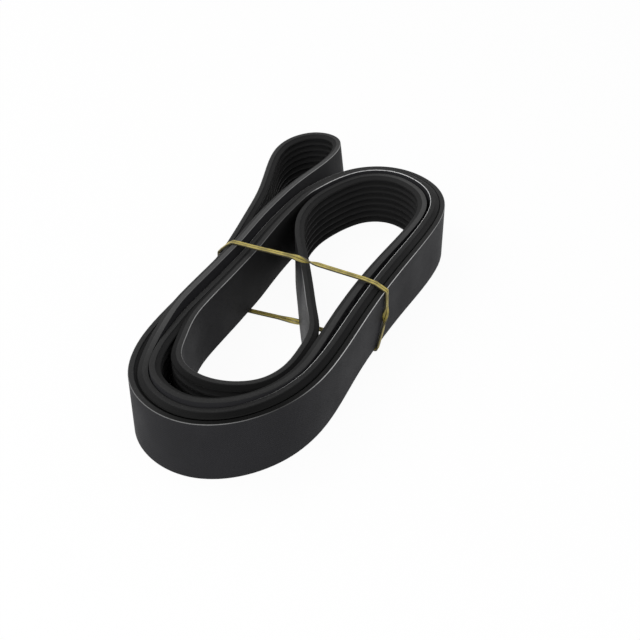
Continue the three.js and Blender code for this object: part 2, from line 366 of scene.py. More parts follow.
# Places round the bundle: down the left leg, round the near end, up the right leg and round the
# far end
STATIONS = (
    Station(52, 43.3, 18.7, 0.9, MESH),
    Station(32, 41.1, 14.8, GAP, MESH),
    Station(12, 38.5, 11.4, GAP, MESH),
    Station(-7, 37.1, 9.6, GAP, MESH),
    Station(-18, 36.6, MESH + 0.2, GAP, MESH),
    Station(-30, 37.4, MESH, GAP, MESH),
    Station(-46, 39.4, MESH, GAP, MESH),
    Station(-60, 41.6, MESH + 0.2, GAP, MESH + 0.5),
    Station(-71, 42.9, TIPS - 0.2, GAP, TIPS - 0.6),
    Station(-81, 43.2, TIPS + 0.1, GAP, TIPS + 0.9),
    Station(-91, 42.2, TIPS + 0.1, GAP),
    Station(-101.6, 39.6, TIPS - 0.4, GAP),
    Station(-111.3, 34.8, MESH + 0.9, GAP),
    Station(-119.4, 27.2, MESH + 0.7, GAP),
    Station(-125.2, 17.4, MESH + 0.6, GAP),
    Station(-127.8, 7.0, MESH + 0.6, GAP),
    Station(-127.2, -2.9, MESH + 0.6, GAP),
    Station(-123.5, -12.7, MESH + 0.5, GAP),
    Station(-117.2, -21.4, MESH + 0.4, GAP),
    Station(-108.2, -29.2, MESH + 0.3, GAP),
    Station(-97.6, -34.9, MESH + 0.3, GAP),
    Station(-84.3, -38.8, MESH + 0.2, 0.7, TIPS),
    Station(-70, -40.4, MESH, 1.6, TIPS),
    Station(-56, -41.2, MESH, 2.4, TIPS),
    Station(-34, -42.6, MESH, 3.0),
    Station(-12, -45.0, MESH, 3.3),
    Station(12, -48.7, MESH, 3.2),
    Station(34, -51.7, MESH, 2.6),
    Station(52, -53.5, MESH, 2.0),
    Station(65, -53.1, MESH, 1.8),
    Station(76.8, -49.9, MESH + 0.2, 1.6),
    Station(86.6, -44.0, MESH + 0.5, 1.3),
    Station(94.1, -35.8, MESH + 0.8, 1.0),
    Station(99.2, -25.8, MESH + 0.8, 0.6),
    Station(100.6, -15.0, MESH + 0.7, GAP),
    Station(98.2, -5.0, MESH + 0.5, GAP),
    Station(92.7, 3.7, MESH + 0.2, GAP),
    Station(84.6, 10.4, MESH, 0.5),
    Station(75.0, 16.2, MESH, 0.7),
    Station(63.6, 20.8, MESH, 0.6),
)
# Last station where the innermost strand lies along the left leg, and the stations where the
# crossing strand lies along the right leg
LEFT_LAST = 9
RIGHT_FIRST = 21
RIGHT_HUG_LAST = 23

# How far the top of the right leg stands out beyond its foot, in degrees, by station
TILT_FIRST = 20
TILT = (0.6, 1.4, 2.1, 3.5, 3.8, 2.6, 2.0, 0.6)

# Height of the other strands above the outer one, in half rib pitches, by station, and what
# holds past the end of each table
SECOND_LIFT = (2.75, 3, 3, 3, 3, 3, 3, 3, 2.75, 2.1, 1.5, 1.15)
SECOND_REST = 1.0
THIRD_LIFT = (
    0, 0, 0, 0, 0, 0, 0.06, 0.35, 0.8, 1.25, 1.65, 1.95, 2.2, 2.35, 2.42, 2.42, 2.4, 2.3, 2.1,
    1.85, 1.6, 1.3, 1.0, 0.75, 0.4, 0.12,
)
THIRD_REST = 0.0
FOURTH_LIFT = (1, 1, 1, 1, 1, 1, 1.06, 1.33, 1.6, 1.55)
HUG_LIFT = 0.1

# Back of the belt away from the stations: the lone hairpin loop, the strand across the middle
# and the bend of the innermost strand at the near end
HAIRPIN = (
    Spot(72.8, 20.9, 2.4, 1.5),
    Spot(86, 18.0, 2.15, 5.0),
    Spot(99, 16.3, 1.9, 6.7),
    Spot(110.5, 16.8, 1.75, 6.7),
    Spot(119.2, 20.9, 1.62, 5.0),
    Spot(123.4, 29.3, 1.5, 3.5),
    Spot(122.2, 38.4, 1.35, 2.5),
    Spot(116.0, 45.4, 1.2, 2.0),
    Spot(107.5, 49.8, 1.05, 1.5),
    Spot(96, 51.5, 0.85, 1.0),
    Spot(82, 49.6, 0.6, 0.5),
    Spot(67, 46.3, 0.3),
)
CROSSING = (
    Spot(51.4, 15.5),
    Spot(40, 16.2),
    Spot(28, 14.1),
    Spot(15.5, 9.9),
    Spot(3, 3.6, 0, 1.5),
    Spot(-12, -3.6, 0, 3.0),
    Spot(-28, -10.9, 0, 4.0),
    Spot(-42, -16.9, 0, 2.5),
)
INNER_BEND = (
    Spot(-91.2, -17.8, 0.4),
    Spot(-96.2, -12.4, 0.5),
    Spot(-99.4, -5.2, 0.6),
    Spot(-100.4, 2.6, 0.7),
    Spot(-99.2, 10.2, 0.9),
    Spot(-95.6, 16.8, 1.1),
    Spot(-89.6, 21.4, 1.3),
)


def tangents(points: np.ndarray) -> np.ndarray:
    """Unit tangents of a closed polyline, halfway between the edges at each point.

    Args:
        points: corners of the polyline in their order.

    Returns:
        A unit vector for each point.
    """
    ahead = np.roll(points, -1, axis=0) - points
    ahead /= np.linalg.norm(ahead, axis=1)[:, None]
    t = ahead + np.roll(ahead, 1, axis=0)
    return t / np.linalg.norm(t, axis=1)[:, None]


def spline_weights(u: float) -> np.ndarray:
    """Weights of four control points of a uniform cubic spline.

    Args:
        u: place between the middle two, from 0 to 1.

    Returns:
        Four weights that add up to one.
    """
    before, after = (1 - u) ** 3, u**3
    here = 3 * u**3 - 6 * u**2 + 4
    ahead = -3 * u**3 + 3 * u**2 + 3 * u + 1
    return np.array((before, here, ahead, after)) / 6


@dataclass
class FoldedPath:
    """The closed line of the belt's back, smoothed, with its height and lean.

    Args:
        section: the belt's section.
        band_room: how high the belt rides where the band passes under it.
        band_x: where the band passes under it, along the bundle.
        band_flat: half the length over which the belt rides at its full height.
        band_ramp: length over which it comes down on each side.
        turn_step: largest turn between two points of the line, in degrees.
        length_step: largest distance between two points of the line.
    """

    section: Section = SECTION
    band_room: float = 1.65
    band_x: float = -16.0
    band_flat: float = 18.0
    band_ramp: float = 50.0
    turn_step: float = 3.4
    length_step: float = 7.0
    points: np.ndarray = field(init=False)
    wear_and_painted_light: dict[str, np.ndarray] = field(init=False)

    def __post_init__(self) -> None:
        """Sample the smooth line, and its wear and painted light with it."""
        rows = self._sample(self._controls())
        self.points = rows[:, :4]
        self.wear_and_painted_light = {key: rows[:, 4 + k] for k, key in enumerate(("chalk_and_painted_light", "scuff", "pale", "flank_shade"))}

    @staticmethod
    def _normal(i: int) -> np.ndarray:
        """Inward normal of the bundle at a station.

        Args:
            i: the station's number.

        Returns:
            A unit vector in plan.
        """
        a, b = STATIONS[max(i - 1, 0)], STATIONS[min(i + 1, len(STATIONS) - 1)]
        t = np.array((b.x - a.x, b.y - a.y))
        t /= np.linalg.norm(t)
        return np.array((-t[1], t[0]))

    def _at(self, i: int, depth: float, lift: float, facing: Facing) -> tuple[float, ...]:
        """Control point beside a station.

        Args:
            i: the station's number.
            depth: how far the strand's back lies inside the outermost back.
            lift: height above the outer strand, in half rib pitches.
            facing: which way the strand's back faces.

        Returns:
            Row of x, y, lift and lean in degrees.
        """
        s, n = STATIONS[i], self._normal(i)
        tilt = TILT[i - TILT_FIRST] if 0 <= i - TILT_FIRST < len(TILT) else 0.0
        reach = depth - self.section.width * math.tan(math.radians(tilt))
        return (s.x + n[0] * reach, s.y + n[1] * reach, lift, -facing.value * tilt)

    @staticmethod
    def _lift(table: tuple[float, ...], i: int, rest: float) -> float:
        """Height that a table gives at a station, or what holds past its end."""
        return table[i] if i < len(table) else rest

    @staticmethod
    def _add_wear_and_painted_light(run: Run, places: list[tuple[float, ...]]) -> list[tuple[float, ...]]:
        """Control points of a run with their wear and painted light.

        Args:
            run: the run that the points belong to.
            places: rows of x, y, lift and lean.

        Returns:
            The rows, each with its four kinds of wear and painted light after it.
        """
        known = [w.place for w in WEAR_AND_PAINTED_LIGHT[run]]
        kinds = zip(*[(w.chalk_and_painted_light, w.scuff, w.pale, w.flank_shade) for w in WEAR_AND_PAINTED_LIGHT[run]])
        wear_and_painted_light = [np.interp(range(len(places)), known, kind) for kind in kinds]
        return [(*place, *worn) for place, *worn in zip(places, *wear_and_painted_light)]

    def _controls(self) -> np.ndarray:
        """Control points once round the belt, ribs always to the left.

        Returns:
            Rows of x, y, lift in half pitches, lean in degrees, and the four kinds of wear and painted
            light.
        """
        whole = range(len(STATIONS))
        hug = range(RIGHT_HUG_LAST, RIGHT_FIRST - 1, -1)
        fourth = range(LEFT_LAST, -1, -1)
        third_lift = [self._lift(THIRD_LIFT, i, THIRD_REST) for i in whole]
        second_lift = [self._lift(SECOND_LIFT, i, SECOND_REST) for i in whole]
        runs = {
            Run.OUTER: [self._at(i, 0.0, 0.0, Facing.OUT) for i in whole],
            Run.THIRD: [self._at(i, STATIONS[i].third, third_lift[i], Facing.OUT) for i in whole],
            Run.CROSSING: [spot.row for spot in CROSSING],
            Run.HUG: [self._at(i, STATIONS[i].fourth, HUG_LIFT, Facing.IN) for i in hug],
            Run.INNER_BEND: [spot.row for spot in INNER_BEND],
            Run.FOURTH: [self._at(i, STATIONS[i].fourth, FOURTH_LIFT[i], Facing.IN) for i in fourth],
            Run.SECOND: [self._at(i, STATIONS[i].pair, second_lift[i], Facing.IN) for i in reversed(whole)],
            Run.HAIRPIN: [spot.row for spot in HAIRPIN],
        }
        return np.array([row for run, places in runs.items() for row in self._add_wear_and_painted_light(run, places)])

    def _sample(self, ctrl: np.ndarray) -> np.ndarray:
        """Smooth closed curve near the control points, denser in the bends.

        Args:
            ctrl: control points as rows.

        Returns:
            Rows of x, y, rise in millimetres, lean in radians and the wear and painted light.
        """
        n = len(ctrl)
        out = []
        for i in range(n):
            c = ctrl[[(i - 1) % n, i, (i + 1) % n, (i + 2) % n]]
            legs = np.diff(c[:, :2], axis=0)
            angles = np.unwrap(np.arctan2(legs[:, 1], legs[:, 0]))
            turn = abs(math.degrees(angles[2] - angles[0])) / 2
            length = float(np.linalg.norm(legs[1]))
            steps = max(2, math.ceil(turn / self.turn_step), math.ceil(length / self.length_step))
            out.extend(spline_weights(k / steps) @ c for k in range(steps))
        pts = np.array(out)
        pts[:, 2] = pts[:, 2] * self.section.pitch / 2 + self._ride(pts[:, 0])
        pts[:, 3] = np.radians(pts[:, 3])
        return pts

    def _ride(self, x: np.ndarray) -> np.ndarray:
        """How far the belt rides up over the band at each x."""
        d = np.clip((np.abs(x - self.band_x) - self.band_flat) / self.band_ramp, 0, 1)
        return self.band_room * (0.5 + 0.5 * np.cos(np.pi * d))

    def centre(self) -> tuple[float, float]:
        """Middle of the belt's plan box, which the CAD frame has at its origin.

        Returns:
            The middle's x and y.
        """
        top = self.points[:, :2]
        along = tangents(top)
        reach = self.section.width * np.sin(self.points[:, 3])
        foot = top + np.column_stack((along[:, 1], -along[:, 0])) * reach[:, None]
        both = np.vstack((top, foot))
        mid = (both.min(0) + both.max(0)) / 2
        return float(mid[0]), float(mid[1])


class Sweep:
    """A Geometry Nodes tree that sweeps a section along a closed path."""

    TREE = "Section swept along a loop"

    def __init__(self) -> None:
        """Build the tree once for every swept piece."""
        tree = bpy.data.node_groups.new(self.TREE, "GeometryNodeTree")
        face = tree.interface
        face.new_socket("Path", in_out="INPUT", socket_type="NodeSocketGeometry")
        section = face.new_socket("Section", in_out="INPUT", socket_type="NodeSocketObject")
        finish = face.new_socket("Finish", in_out="INPUT", socket_type="NodeSocketMaterial")
        self.section_id, self.finish_id = section.identifier, finish.identifier
        face.new_socket("Swept", in_out="OUTPUT", socket_type="NodeSocketGeometry")
        nodes, links = tree.nodes, tree.links
        given = nodes.new("NodeGroupInput")
        path = nodes.new("GeometryNodeMeshToCurve")
        side = nodes.new("GeometryNodeInputNamedAttribute")
        side.data_type = "FLOAT_VECTOR"
        side.inputs["Name"].default_value = "side"
        turned = nodes.new("GeometryNodeSetCurveNormal")
        turned.mode = "FREE"
        shape = nodes.new("GeometryNodeObjectInfo")
        outline = nodes.new("GeometryNodeMeshToCurve")
        swept = nodes.new("GeometryNodeCurveToMesh")
        real = nodes.new("GeometryNodeRealizeInstances")
        dressed = nodes.new("GeometryNodeSetMaterial")
        out = nodes.new("NodeGroupOutput")
        links.new(given.outputs["Path"], path.inputs["Mesh"])
        links.new(path.outputs["Curve"], turned.inputs["Curve"])
        links.new(side.outputs["Attribute"], turned.inputs["Normal"])
        links.new(given.outputs["Section"], shape.inputs["Object"])
        links.new(shape.outputs["Geometry"], outline.inputs["Mesh"])
        links.new(turned.outputs["Curve"], swept.inputs["Curve"])
        links.new(outline.outputs["Curve"], swept.inputs["Profile Curve"])
        links.new(swept.outputs["Mesh"], real.inputs["Geometry"])
        links.new(real.outputs["Geometry"], dressed.inputs["Geometry"])
        links.new(given.outputs["Finish"], dressed.inputs["Material"])
        links.new(dressed.outputs["Geometry"], out.inputs["Swept"])
        self.tree = tree

    def run(
        self, name: str, path: bpy.types.Object, section: bpy.types.Object, finish: bpy.types.Material
    ) -> bpy.types.Object:
        """Sweep a section along a path and keep the result as a plain mesh.

        Args:
            name: name of the finished piece.
            path: closed loop of vertices with a `side` vector attribute.
            section: closed loops of vertices in the XY plane.
            finish: material of the piece.

        Returns:
            The finished object, at the origin.
        """
        mod = path.modifiers.new("Sweep", "NODES")
        mod.node_group = self.tree
        mod[self.section_id] = section
        mod[self.finish_id] = finish
        bpy.context.view_layer.update()
        graph = bpy.context.evaluated_depsgraph_get()
        mesh = bpy.data.meshes.new_from_object(path.evaluated_get(graph), depsgraph=graph)
        path.modifiers.remove(mod)
        for helper in (path, section):
            bpy.data.objects.remove(helper)
        mesh.name = name
        if signed_volume(mesh) < 0:
            mesh.flip_normals()
        mesh.shade_smooth()
        piece = bpy.data.objects.new(name, mesh)
        bpy.context.scene.collection.objects.link(piece)
        return piece


def signed_volume(mesh: bpy.types.Mesh) -> float:
    """Volume of a closed mesh.

    Args:
        mesh: the mesh, with or without its triangles worked out.

    Returns:
        The volume, negative where the faces point inwards.
    """
    mesh.calc_loop_triangles()
    tris = np.empty(len(mesh.loop_triangles) * 3, dtype=np.int32)
    mesh.loop_triangles.foreach_get("vertices", tris)
    co = np.empty(len(mesh.vertices) * 3)
    mesh.vertices.foreach_get("co", co)
    a, b, c = (co.reshape(-1, 3)[tris.reshape(-1, 3)[:, k]] for k in range(3))
    return float(np.einsum("ij,ij->i", a, np.cross(b, c)).sum() / 6)


def loop_object(name: str, loops: list[np.ndarray], fields: dict[str, np.ndarray]) -> bpy.types.Object:
    """Object of closed loops of vertices, with attributes on its points.

    Args:
        name: name of the helper object.
        loops: one array of points, in metres, for each loop.
        fields: attribute values in the order of the points, scalar or vector.

    Returns:
        The linked object.
    """
    verts = np.vstack(loops)
    edges = []
    start = 0
    for loop in loops:
        n = len(loop)
        edges.extend((start + k, start + (k + 1) % n) for k in range(n))
        start += n
    mesh = bpy.data.meshes.new(name)
    mesh.from_pydata(verts.tolist(), edges, [])
    for key, values in fields.items():
        vector = values.ndim == 2
        attr = mesh.attributes.new(key, "FLOAT_VECTOR" if vector else "FLOAT", "POINT")
        attr.data.foreach_set("vector" if vector else "value", values.astype(np.float32).ravel())
    obj = bpy.data.objects.new(name, mesh)
    bpy.context.scene.collection.objects.link(obj)
    return obj


def turned(side: np.ndarray, along: np.ndarray, angle: np.ndarray) -> np.ndarray:
    """Side vectors turned about the path by an angle at each point, in radians."""
    return side * np.cos(angle)[:, None] + np.cross(along, side) * np.sin(angle)[:, None]


Value = float | bpy.types.NodeSocket
Colour = tuple[float, float, float, float]


class NodeSheet:
    """Shader nodes of one material or node group, made and linked in few words."""

    def __init__(self, tree: bpy.types.ShaderNodeTree) -> None:
        """Keep the tree that the nodes go into."""
        self.tree = tree

    def node(self, kind: str, inputs: dict | None = None, **props) -> bpy.types.Node:
        """Make a node.

        Args:
            kind: the node's type name.
            inputs: values or sockets for its inputs, by name or number.
            props: properties of the node.

        Returns:
            The node.
        """
        made = self.tree.nodes.new(kind)
        for key, value in props.items():
            setattr(made, key, value)
        for key, value in (inputs or {}).items():
            if isinstance(value, bpy.types.NodeSocket):
                self.tree.links.new(value, made.inputs[key])
            else:
                made.inputs[key].default_value = value
        return made

    def math(self, operation: str, *values: Value) -> bpy.types.NodeSocket:
        """Make a Math node and give its output."""
        made = self.node("ShaderNodeMath", dict(enumerate(values)), operation=operation)
        return made.outputs[0]

    def blend(
        self, mask: bpy.types.NodeSocket, a: Colour | bpy.types.NodeSocket, b: Colour | bpy.types.NodeSocket
    ) -> bpy.types.NodeSocket:
        """Mix two colours by a mask and give the result."""
        made = self.node("ShaderNodeMix", {0: mask, 6: a, 7: b}, data_type="RGBA")
        return made.outputs[2]

    def ramp(self, value: bpy.types.NodeSocket, low: Value, high: Value) -> bpy.types.NodeSocket:
        """Rise smoothly from 0 at low to 1 at high, or fall where low is the larger.

        Args:
            value: what is looked up.
            low: the value that gives 0.
            high: the value that gives 1.

        Returns:
            The ramp's output.
        """
        made = self.node(
            "ShaderNodeMapRange",
            {"Value": value, "From Min": low, "From Max": high},
            interpolation_type="SMOOTHSTEP",
        )
        return made.outputs["Result"]

    def field(self, name: str) -> bpy.types.NodeSocket:
        """Read an attribute of the piece's own mesh."""
        return self.node("ShaderNodeAttribute", attribute_name=name).outputs["Fac"]


def new_group(
    name: str, floats: dict[str, float], outputs: tuple[str, ...]
) -> tuple[bpy.types.ShaderNodeTree, NodeSheet, bpy.types.Node, bpy.types.Node]:
    """Start a shader node group.

    Args:
        name: name of the group.
        floats: float inputs with their defaults.
        outputs: names of its float outputs.

    Returns:
        The tree, a sheet to add nodes with, and its input and output nodes.
    """
    tree = bpy.data.node_groups.new(name, "ShaderNodeTree")
    for key, value in floats.items():
        given = tree.interface.new_socket(key, in_out="INPUT", socket_type="NodeSocketFloat")
        given.default_value = value
    for key in outputs:
        tree.interface.new_socket(key, in_out="OUTPUT", socket_type="NodeSocketFloat")
    sheet = NodeSheet(tree)
    return tree, sheet, sheet.node("NodeGroupInput"), sheet.node("NodeGroupOutput")


class SharedEffects:
    """Node groups that more than one finish uses."""

    def __init__(self) -> None:
        """Build the groups once."""
        self.broken = self._broken()
        self.grain = self._grain()

    @staticmethod
    def _broken() -> bpy.types.ShaderNodeTree:
        """Mask broken up by noise, as worn rubber and fibre ends are.

        Returns:
            The group.
        """
        tree, sheet, given, out = new_group(
            "Broken mask", {"Mask": 1.0, "Scale": 900.0, "Cover": 0.5, "Softness": 0.1}, ("Mask",)
        )
        where = sheet.node("ShaderNodeTexCoord").outputs["Object"]
        noise = sheet.node(
            "ShaderNodeTexNoise", {"Vector": where, "Scale": given.outputs["Scale"], "Detail": 3.0}
        )
        border = sheet.math("SUBTRACT", 1.0, given.outputs["Cover"])
        low = sheet.math("SUBTRACT", border, given.outputs["Softness"])
        high = sheet.math("ADD", border, given.outputs["Softness"])
        patches = sheet.ramp(noise.outputs["Fac"], low, high)
        tree.links.new(sheet.math("MULTIPLY", patches, given.outputs["Mask"]), out.inputs["Mask"])
        return tree

    @staticmethod
    def _grain() -> bpy.types.ShaderNodeTree:
        """Height of a fine moulded grain, with a slower unevenness under it.

        Returns:
            The group.
        """
        tree, sheet, given, out = new_group(
            "Moulded grain", {"Fine": 2600.0, "Slow": 120.0, "Share": 0.5}, ("Height",)
        )
        where = sheet.node("ShaderNodeTexCoord").outputs["Object"]
        fine, slow = (
            sheet.node("ShaderNodeTexNoise", {"Vector": where, "Scale": given.outputs[key], "Detail": 2.0})
            for key in ("Fine", "Slow")
        )
        part = sheet.math("MULTIPLY", slow.outputs["Fac"], given.outputs["Share"])
        tree.links.new(sheet.math("ADD", fine.outputs["Fac"], part), out.inputs["Height"])
        return tree


@dataclass(frozen=True)
class Patches:
    """How noise breaks a mask up.

    Args:
        scale: how fine the patches are.
        cover: share of the mask that stays.
        softness: how gradual the patches' borders are.
    """

    scale: float
    cover: float
    softness: float

    def of(self, sheet: NodeSheet, effects: SharedEffects, mask: Value) -> bpy.types.NodeSocket:
        """Break a mask up with the shared group and give the result."""
        values = {"Mask": mask, "Scale": self.scale, "Cover": self.cover, "Softness": self.softness}
        return place_group(sheet, effects.broken, values).outputs["Mask"]


@dataclass(frozen=True)
class Grain:
    """How a moulded surface is grained.

    Args:
        fine: scale of the fine grain.
        slow: scale of the slow unevenness.
        strength: how much the grain turns the light.
        depth: height of the grain, in metres.
        share: how much of the height is unevenness.
    """

    fine: float
    slow: float
    strength: float
    depth: float
    share: float = 0.5

    def normal(self, sheet: NodeSheet, effects: SharedEffects) -> bpy.types.NodeSocket:
        """Place the shared grain in a material.

        Args:
            sheet: sheet of the material.
            effects: shared node groups.

        Returns:
            The grained normal.
        """
        grain = place_group(
            sheet, effects.grain, {"Fine": self.fine, "Slow": self.slow, "Share": self.share}
        )
        bump = {"Height": grain.outputs["Height"], "Strength": self.strength, "Distance": self.depth}
        return sheet.node("ShaderNodeBump", bump).outputs["Normal"]


def new_material(name: str) -> tuple[bpy.types.Material, NodeSheet, bpy.types.Node]:
    """Start a material.

    Args:
        name: name of the material.

    Returns:
        The material, a sheet to add nodes with, and its Principled BSDF.
    """
    mat = bpy.data.materials.new(name)
    mat.use_nodes = True
    return mat, NodeSheet(mat.node_tree), mat.node_tree.nodes["Principled BSDF"]


def grey(value: float, tint: float = 1.0) -> Colour:
    """Linear grey, a little bluish where tint is above 1."""
    return (value, value, value * tint, 1.0)


def place_group(
    sheet: NodeSheet, group: bpy.types.ShaderNodeTree, values: dict[str, Value]
) -> bpy.types.Node:
    """Place a shared group in a material with its own values."""
    return sheet.node("ShaderNodeGroup", values, node_tree=group)


@dataclass(frozen=True)
class BeltRubber:
    """Finish of the belt: near-black rubber with a fine weave on its back and worn corners, and painted
    light and shade on its cut edges, its back and its outermost ribs' flanks.

    Greys are linear, and each zone says at which distances in millimetres its mask is 0 and 1.

    Args:
        back: grey of the smooth back.
        ribs: grey of the ribs.
        flank: grey of the painted shade on the outermost ribs' outer flanks.
        cut: grey of the lightest cut edges, partly chalky and partly painted light.
        cut_dark: grey of the darkest cut edges, partly the rubber's own grey and partly painted shade.
        speck: grey of the fibre specks on the cut edges.
        worn: grey of the pale line along the back's corners.
        highlight_grey: grey of the patchy painted highlight on the back.
        clouded: how dark the back's clouds are, as a share of its grey.
        lit: how light the threads are, as a share of the back's grey.
        back_shade_share: how dark the painted shade on the back is, as a share of its grey.
        roughness: roughness of the moulded faces.
        uneven: how much rougher the clouds and the cut edges are.
        gloss: specular level.
        weave: distance from thread to thread of the weave on the back, in millimetres.
        weave_strength: how much the weave turns the light.
        weave_depth: height of the weave, in metres.
        cut_zone: the cut edge, by the distance from it.
        rib_blend: half the depth over which the backing turns to ribs.
        flank_zone: the outermost ribs' outer flanks, by the distance from the cut edge.
        corner_zone: the back's corners, by the distance from both faces.
        back_zone: the back, by the distance from it.
    """

    back: float = 0.0235
    ribs: float = 0.0175
    flank: float = 0.003
    cut: float = 0.075
    cut_dark: float = 0.003
    speck: float = 0.12
    worn: float = 0.72
    highlight_grey: float = 0.375
    clouded: float = 0.6
    lit: float = 2.2
    back_shade_share: float = 0.42
    roughness: float = 0.6
    uneven: float = 0.1
    gloss: float = 0.06
    weave: float = 1.05
    weave_strength: float = 0.25
    weave_depth: float = 0.00004
    cut_zone: tuple[float, float] = (0.5, 0.05)
    rib_blend: float = 0.4
    flank_zone: tuple[float, float] = (1.7, 1.3)
    corner_zone: tuple[float, float] = (0.34, 0.16)
    back_zone: tuple[float, float] = (0.3, 0.05)

    SPECKS = Patches(1700.0, 0.34, 0.06)
    LINE = Patches(420.0, 0.72, 0.2)
    CLOUDS = Patches(60.0, 0.5, 0.3)
    HIGHLIGHT_PATCHES = Patches(1500.0, 0.55, 0.3)
    GRAIN = Grain(2600.0, 120.0, 0.35, 0.00006)
    # How much of each look shows where its mask is full
    CLOUD_SHARE = 0.25
    THREAD_SHARE = 0.3
    HIGHLIGHT_SHARE = 0.45
    SPECK_SHARE = 0.7

    def make(self, effects: SharedEffects, section: Section) -> bpy.types.Material:
        """Build the material.

        Args:
            effects: shared node groups.
            section: the belt's section, for where its edges are.

        Returns:
            The material.
        """
        mat, sheet, shader = new_material("Belt rubber")
        links = mat.node_tree.links
        depth, height, chalk_and_painted_light = (sheet.field(name) for name in ("depth", "height", "chalk_and_painted_light"))
        from_mid = sheet.math("ABSOLUTE", sheet.math("SUBTRACT", height, section.width / 2))
        below_cut = sheet.math("SUBTRACT", section.width / 2, from_mid)
        on_cut = sheet.ramp(below_cut, *self.cut_zone)
        on_back = sheet.ramp(depth, *self.back_zone)
        threads = sheet.math("MULTIPLY", self._threads(sheet, height), on_back)
        clouds = self.CLOUDS.of(sheet, effects, 1.0)
        ribs = sheet.ramp(depth, section.backing - self.rib_blend, section.backing + self.rib_blend)
        moulded = sheet.blend(ribs, grey(self.back, 1.1), grey(self.ribs))
        clouded = grey(self.back * self.clouded, 1.05)
        moulded = sheet.blend(sheet.math("MULTIPLY", clouds, self.CLOUD_SHARE), moulded, clouded)
        moulded = self._back_looks(sheet, effects, moulded, on_back, threads)
        # Painted shade on the outermost ribs' outer flanks, which lie in the dark gap between meshed
        # strands
        on_flank = sheet.math("MULTIPLY", ribs, sheet.ramp(below_cut, *self.flank_zone))
        flank_shade = sheet.math("MULTIPLY", on_flank, sheet.field("flank_shade"))
        moulded = sheet.blend(flank_shade, moulded, grey(self.flank))
        # Cut edges are lighter with chalky wear and with painted light on raised strands, and darker with
        # painted shade on low ones
        colour = sheet.blend(on_cut, moulded, sheet.blend(chalk_and_painted_light, grey(self.cut_dark), grey(self.cut)))
        specks = self.SPECKS.of(sheet, effects, on_cut)
        share = sheet.math("MULTIPLY", specks, sheet.math("MULTIPLY", chalk_and_painted_light, self.SPECK_SHARE))
        colour = sheet.blend(share, colour, grey(self.speck))
        corner = sheet.ramp(sheet.math("MAXIMUM", depth, below_cut), *self.corner_zone)
        line = self.LINE.of(sheet, effects, sheet.math("MULTIPLY", corner, sheet.field("scuff")))
        links.new(sheet.blend(line, colour, grey(self.worn)), shader.inputs["Base Color"])
        rough = sheet.math("MULTIPLY", clouds, self.uneven)
        rough = sheet.math("ADD", self.roughness - self.uneven / 2, rough)
        rough = sheet.math("ADD", rough, sheet.math("MULTIPLY", on_cut, self.uneven))
        links.new(rough, shader.inputs["Roughness"])
        shader.inputs["Specular IOR Level"].default_value = self.gloss
        weave = {"Height": threads, "Strength": self.weave_strength, "Distance": self.weave_depth}
        weave["Normal"] = self.GRAIN.normal(sheet, effects)
        links.new(sheet.node("ShaderNodeBump", weave).outputs["Normal"], shader.inputs["Normal"])
        return mat

    def _back_looks(
        self,
        sheet: NodeSheet,
        effects: SharedEffects,
        colour: bpy.types.NodeSocket,
        on_back: bpy.types.NodeSocket,
        threads: bpy.types.NodeSocket,
    ) -> bpy.types.NodeSocket:
        """Put the threads, the painted shade and the patchy painted highlight on the back.

        Args:
            sheet: sheet of the material.
            effects: shared node groups.
            colour: colour of the moulded faces.
            on_back: mask of the back.
            threads: height of the weave's threads.

        Returns:
            The colour with them.
        """
        pale = sheet.field("pale")
        woven = sheet.math("MULTIPLY", sheet.math("MAXIMUM", threads, 0.0), self.THREAD_SHARE)
        colour = sheet.blend(woven, colour, grey(self.back * self.lit, 1.05))
        # Painted shade on the back where its value is below 0
        dark = sheet.math("MAXIMUM", sheet.math("MULTIPLY", pale, -1.0), 0.0)
        colour = sheet.blend(sheet.math("MULTIPLY", dark, on_back), colour, grey(self.back * self.back_shade_share))
        # Patchy painted highlight on the back where its value is above 0
        highlight_mask = self.HIGHLIGHT_PATCHES.of(sheet, effects, sheet.math("MULTIPLY", on_back, pale))
        return sheet.blend(sheet.math("MULTIPLY", highlight_mask, self.HIGHLIGHT_SHARE), colour, grey(self.highlight_grey))

    def _threads(self, sheet: NodeSheet, height: bpy.types.NodeSocket) -> bpy.types.NodeSocket:
        """Height of the threads of the weave, along and across the belt.

        Args:
            sheet: sheet of the material.
            height: height above the belt's lower edge.

        Returns:
            A height from -1 to 1.
        """
        turn = 2 * math.pi / self.weave
        along = sheet.math("SINE", sheet.math("MULTIPLY", sheet.field("run"), turn))
        across = sheet.math("SINE", sheet.math("MULTIPLY", height, turn))
        return sheet.math("MULTIPLY", along, across)


